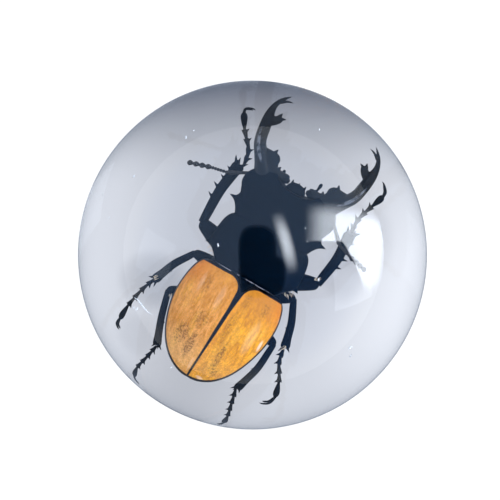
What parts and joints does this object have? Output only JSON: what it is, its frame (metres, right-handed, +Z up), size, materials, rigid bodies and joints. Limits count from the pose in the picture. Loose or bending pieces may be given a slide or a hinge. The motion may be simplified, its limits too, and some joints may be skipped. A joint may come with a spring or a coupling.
{
  "type": "insect in resin block",
  "caption": "Clear cast-resin dome on a flat foot with a dried stag beetle sealed inside, used as a paperweight or desk display.",
  "frame": {"origin": "middle of the dome's flat foot, on the surface it stands on", "axes": "+Z up through the dome's crown; +Y towards the sealed beetle's head and jaws; +X towards the beetle's right side"},
  "size_m": [0.0798, 0.0798, 0.038],
  "materials": {
    "clear_resin": "polished clear resin, index of refraction 1.5",
    "black_shell": "glossy black insect shell",
    "amber_wing_case": "satin amber wing case with brown streaks and a black rim",
    "feeler_club": "matt dark feeler clubs and eyes",
    "golden_hair": "short rusty hair at the shell's joints"
  },
  "bodies": {
    "root": {"resin_dome": "clear_resin"}
  },
  "joints": []
}
